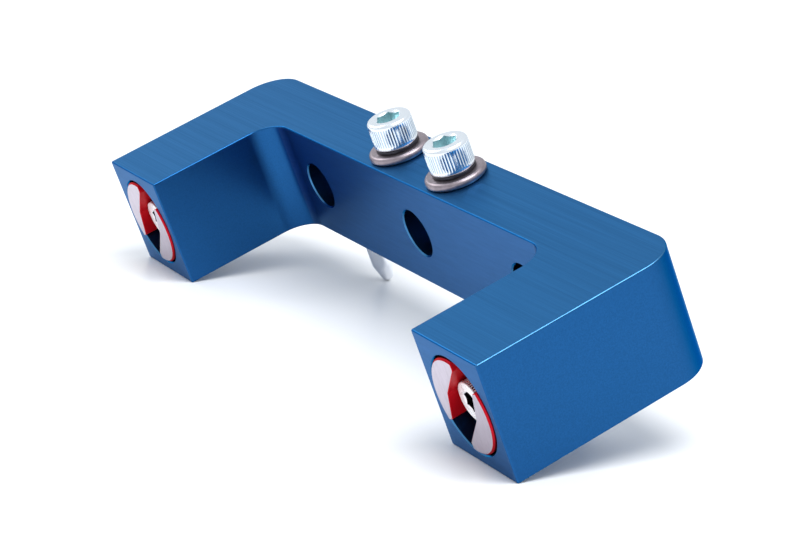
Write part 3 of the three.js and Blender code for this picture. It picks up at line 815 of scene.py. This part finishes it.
# %% Cap screws
def cap_screw(name, centre, out, head_radius, head_height, length, radius, pitch, key, socket_depth, rim,
              finishes):
    """A socket cap screw whose head sits on z = 0. One closed surface: cone, thread, neck, underside,
    straight knurl, round rim, and a six-sided socket that ends in a drilled cone."""
    depth = 0.6 * pitch
    root = radius - depth
    shank_end = -1.1 * pitch
    tip = -length
    cone = [(0, tip), (root - 0.25 * MM, tip), (root, tip + 0.25 * MM)]
    thread = thread_grid(tip + 0.25 * MM, shank_end, pitch, radius, depth, 0.6 * pitch)
    top = head_height
    bowl = rounded([(head_radius - 0.01 * MM, top - 2 * rim), (head_radius, top), (key / 2 * 1.2, top)],
                   [0, rim, 0], steps=7)[1:]
    knurl_low, knurl_high = 1.0 * MM, top - rim
    neck = [(root, shank_end), (root + 0.05 * MM, -0.3 * MM), (root + 0.35 * MM, 0),
            (head_radius - 0.5 * MM, 0), (head_radius - 0.15 * MM, 0.12 * MM),
            (head_radius - 0.02 * MM, knurl_low - 0.3 * MM)]
    band = [(head_radius, z) for z in np.linspace(knurl_low, knurl_high - 0.15 * MM, 5)]
    outside = np.array(neck + band + bowl.tolist())

    def knurled(r, z, angle):
        """A triangle wave round the head, which starts and ends over KNURL_FADE."""
        ridge = np.abs((angle * KNURL_RIDGES / (2 * math.pi)) % 1 - 0.5) * 2
        rising = np.clip((z - knurl_low + KNURL_FADE) / KNURL_FADE, 0, 1)
        falling = np.clip((knurl_high - z) / KNURL_FADE, 0, 1)
        return r - KNURL_DEPTH * ridge * rising * falling * (r > head_radius - 0.05 * MM)

    def hexagonal(r, z, angle):
        """Radius of a hexagon whose flats are a key apart."""
        flat = (key / 2) / np.cos((angle + math.pi / 6) % (math.pi / 3) - math.pi / 6)
        return flat + 0 * r

    corner = key / 2 / math.cos(math.pi / 6)
    mouth = revolved([(corner + 0.1 * MM, top)], SCREW_COLUMNS)
    walls = revolved([(0, top), (0, top - socket_depth)], SCREW_COLUMNS, hexagonal)
    across = np.linalg.norm(walls[0, :, :2], axis=-1)
    walls[0, :, 2] = top - (corner + 0.1 * MM - across) * 0.7
    bottom = top - socket_depth
    drilled = revolved([(key / 2 * 0.97, bottom), (0, bottom - key * 0.28)], SCREW_COLUMNS)
    parts = [revolved(cone, SCREW_COLUMNS), revolved(outside, SCREW_COLUMNS, knurled)]
    parts[1] = np.concatenate([parts[1], mouth, walls, drilled])
    points, faces, start = [], [], 0
    for part in parts:
        points.append(part.reshape(-1, 3))
        faces.append(quads(len(part), SCREW_COLUMNS, start))
        start += part.shape[0] * SCREW_COLUMNS
    points.append(thread.reshape(-1, 3))
    faces.append(quads(len(thread), SCREW_COLUMNS + 1, start, wrap_columns=False))
    low_in_socket = top - 0.5 * MM

    def screw_finish(normals, centres):
        """0 plated, 1 inside the socket, 2 in the grooves of the knurl; 1 and 2 are painted shade."""
        local = (centres - np.asarray(centre)) @ np.stack([[1, 0, 0], np.cross(out, [1.0, 0, 0]), out]).T
        across, along = np.hypot(local[:, 0], local[:, 1]), local[:, 2]
        in_socket = (across < corner + 0.09 * MM) & (along > 0) & (along < low_in_socket)
        in_knurl = (along > knurl_low) & (along < knurl_high - 0.1 * MM)
        in_groove = in_knurl & (across < head_radius - 0.6 * KNURL_DEPTH)
        return np.where(in_socket, 1, np.where(in_groove & (across > corner + rim), 2, 0))

    return solid(name, seated(np.concatenate(points), centre, out), faces, finishes, screw_finish)


# %% [markdown]
# ## The four screws
#
# Two M6 screws stand on the bridge and two M5 screws lie deep in the slots of the plugs. Heads and keys
# are standard for their threads; where a head sits and how long its screw is come from the imported model.
# The top rim of the M6 heads is well rounded, and the M5 heads show as bright flat rings round a socket
# painted black, a painted shade.

# %% Four screws
CLAMP_HEAD = 6.2 * MM
CLAMP_SIZES = dict(head_radius=5 * MM, head_height=CLAMP_HEAD, radius=3 * MM, pitch=1 * MM, key=5 * MM,
                   socket_depth=3 * MM, rim=0.9 * MM)
PLUG_HEAD = 5 * MM
PLUG_SIZES = dict(head_radius=4.25 * MM, head_height=PLUG_HEAD, radius=2.5 * MM, pitch=0.8 * MM, key=4 * MM,
                  socket_depth=2.5 * MM, rim=0.25 * MM)

for side in ("left", "right"):
    low, high = span(f"{side}_clamp_screw")
    under_head = high[2] - CLAMP_HEAD
    centre = (middle(f"{side}_clamp_screw")[0], MIDDLE_OF_BRIDGE, under_head)
    screw = cap_screw(f"{side}_clamp_cap_screw", centre, OUT_OF_TOP, length=under_head - low[2],
                      finishes=[bright_plated, plated_socket_painted_shade, knurl_groove_painted_shade], **CLAMP_SIZES)
    fitted(screw, f"{side}_clamp_bolt", f"{side}_clamp_screw")
    low, high = span(f"{side}_plug_screw")
    under_head = low[1] + PLUG_HEAD
    centre = (middle(f"{side}_plug_screw")[0], under_head, MID_HEIGHT)
    screw = cap_screw(f"{side}_plug_cap_screw", centre, OUT_OF_TIP, length=high[1] - under_head,
                      finishes=[plated_ring, dark_socket_painted_shade, knurl_groove_painted_shade], **PLUG_SIZES)
    fitted(screw, f"{side}_plug_bolt", f"{side}_plug_screw")

# %% [markdown]
# ## Ring sections
#
# A washer, an O-ring and an insert are all a section carried once round an axis. The lock washer isn't
# closed: it is cut through on a slant and springs open, so its section stops short of a full turn, and
# each end leans by the angle of the cut and is closed with a flat face.

# %% Ring sections
def ring_loop(inner, outer, low, high, radii):
    """Section of a ring, once round, with its own radius at each of its four corners."""
    return rounded([(inner, low), (outer, low), (outer, high), (inner, high)], radii, steps=5, closed=True)


def split_ring(name, centre, out, inner, outer, low, high, opening, slant, finish, columns=120):
    """A ring whose section is carried round from one side of a slanting cut to the other. Both ends are
    closed with flat faces."""
    section = ring_loop(inner, outer, low, high, 0.1 * MM)
    r, z = section.T[:, :, None]
    half = math.pi - opening / (inner + outer)
    slanted = (z - (low + high) / 2) * math.tan(slant) / ((inner + outer) / 2)
    angle = np.linspace(-half, half, columns)[None] + slanted
    angle = angle - math.pi / 2
    grid = np.stack([r * np.cos(angle), r * np.sin(angle), z + 0 * angle], axis=-1)
    rows = len(grid)
    first = (np.arange(rows) * columns)[None]
    around = quads(rows, columns, wrap_rows=True, wrap_columns=False)
    faces = [around, first, (first + columns - 1)[:, ::-1]]
    return solid(name, seated(grid.reshape(-1, 3), centre, out), faces, [finish])


# %% [markdown]
# ## Washers under the clamp screws
#
# The flat washers are punched from sheet: the punch rounds the edge that it enters and leaves the other
# one square, so the four corners of their section have different radii. The lock washers are narrow and
# hide almost fully under the screw heads. Their split faces the back.

# %% Washers
WASHER_HOLE_RADIUS, LOCK_HOLE_RADIUS = 3.3 * MM, 3.2 * MM
WASHER_CORNERS = np.array([0.15, 0.5, 0.85, 0.4]) * MM  # hole below, rim below, rim above, hole above
LOCK_OPENING, LOCK_SLANT = 0.9 * MM, math.radians(30)

for side in ("left", "right"):
    low, high = span(f"{side}_flat_washer")
    centre = np.array([middle(f"{side}_flat_washer")[0], MIDDLE_OF_BRIDGE, 0])
    outer = (high[0] - low[0]) / 2
    loop = ring_loop(WASHER_HOLE_RADIUS, outer, low[2], high[2], WASHER_CORNERS)
    washer = turned(f"{side}_stamped_washer", loop, centre, OUT_OF_TOP, [grey_washer], 120, ring=True)
    fitted(washer, "frame", f"{side}_flat_washer")
    low, high = span(f"{side}_spring_washer")
    washer = split_ring(f"{side}_lock_washer", centre, OUT_OF_TOP, LOCK_HOLE_RADIUS,
                        (high[0] - low[0]) / 2, low[2], high[2], LOCK_OPENING, LOCK_SLANT, black_washer)
    fitted(washer, f"{side}_spring", f"{side}_spring_washer")

# %% [markdown]
# ## O-rings, wave washers and inserts
#
# None of these shows from outside, but the plug wouldn't work without them. The O-ring centres the plug
# and holds it where it is turned to. The wave washer pushes it against the head of its screw: a thin ring
# whose height follows the cosine of three times the angle. The insert is a steel bush with the screw's
# thread, since aluminium threads wear when a screw is turned often.

# %% O-rings, wave washers and inserts
WAVE_WIDTH, WAVE_SHEET, INSERT_HOLE_RADIUS = 3 * MM, 0.4 * MM, 2.6 * MM

for side in ("left", "right"):
    plug_x = middle(f"{side}_jaw_plug")[0]
    centre = np.array([plug_x, 0, MID_HEIGHT])
    low, high = span(f"{side}_o_ring")
    thick = (high[1] - low[1]) / 2
    big = (high[0] - low[0]) / 2 - thick
    turn = 2 * math.pi * np.arange(20) / 20
    loop = np.column_stack([big + thick * np.cos(turn), -(low[1] + high[1]) / 2 + thick * np.sin(turn)])
    o_ring = turned(f"{side}_rubber_ring", loop, centre, OUT_OF_TIP, [black_rubber], 120, ring=True)
    fitted(o_ring, f"{side}_ring", f"{side}_o_ring")

    low, high = span(f"{side}_wave_washer")
    outer = (high[0] - low[0]) / 2
    loop = ring_loop(outer - WAVE_WIDTH, outer, -WAVE_SHEET / 2, WAVE_SHEET / 2, 0.08 * MM)
    grid = revolved(loop, 144)
    angle = np.arctan2(grid[..., 1], grid[..., 0])
    grid[..., 2] += (high[1] - low[1] - WAVE_SHEET) / 2 * np.cos(3 * angle) - (low[1] + high[1]) / 2
    wave = solid(f"{side}_spring_wave", seated(grid.reshape(-1, 3), centre, OUT_OF_TIP),
                 [quads(len(grid), 144, wrap_rows=True)], [spring_steel])
    fitted(wave, "frame", f"{side}_wave_washer")

    low, high = span(f"{side}_thread_insert")
    outer = (high[0] - low[0]) / 2
    loop = ring_loop(INSERT_HOLE_RADIUS, outer, -high[1], -low[1], 0.2 * MM)
    insert = turned(f"{side}_steel_insert", loop, centre, OUT_OF_TIP, [spring_steel], 64, ring=True)
    fitted(insert, "frame", f"{side}_thread_insert")

# %% [markdown]
# ## Pins
#
# Two ground pins stand out of the underside and fit into holes in what the jaw is set on. Their long cone
# and ball nose let them find the holes. The profile is a cylinder, a cone tangent to a ball at the tip,
# and a soft shoulder between cylinder and cone; a primitive cone would leave a point and a hard ring.

# %% Pins
PIN_TIP_RADIUS, PIN_NOSE_ANGLE = 1.4 * MM, math.radians(18)


def pin_profile(radius, inner_end, tip):
    """A cylinder whose nose is a cone that ends in a tangent ball: the ball's arc starts where its normal
    is square to the cone."""
    ball = tip - PIN_TIP_RADIUS
    turn = np.linspace(PIN_NOSE_ANGLE, math.pi / 2, 10)
    arc = np.column_stack([PIN_TIP_RADIUS * np.cos(turn), ball + PIN_TIP_RADIUS * np.sin(turn)])
    arc[-1, 0] = 0
    shoulder = arc[0, 1] - (radius - arc[0, 0]) / math.tan(PIN_NOSE_ANGLE)
    body = rounded([(0, inner_end), (radius, inner_end), (radius, shoulder), arc[0]],
                   np.array([0, 0.4, 3.0, 0]) * MM, steps=8)
    return np.concatenate([body, arc[1:]])


for side in ("left", "right"):
    low, high = span(f"{side}_locating_pin")
    centre = (middle(f"{side}_locating_pin")[0], MIDDLE_OF_BRIDGE, 0)
    profile = pin_profile((high[0] - low[0]) / 2, -high[2], -low[2])
    pin = turned(f"{side}_pin", profile, centre, OUT_OF_UNDERSIDE, [polished_pin], 80)
    fitted(pin, "frame", f"{side}_locating_pin")

# %% [markdown]
# ## End
#
# The last cell only prints that the script has reached its end.

# %% End
print("script ended")
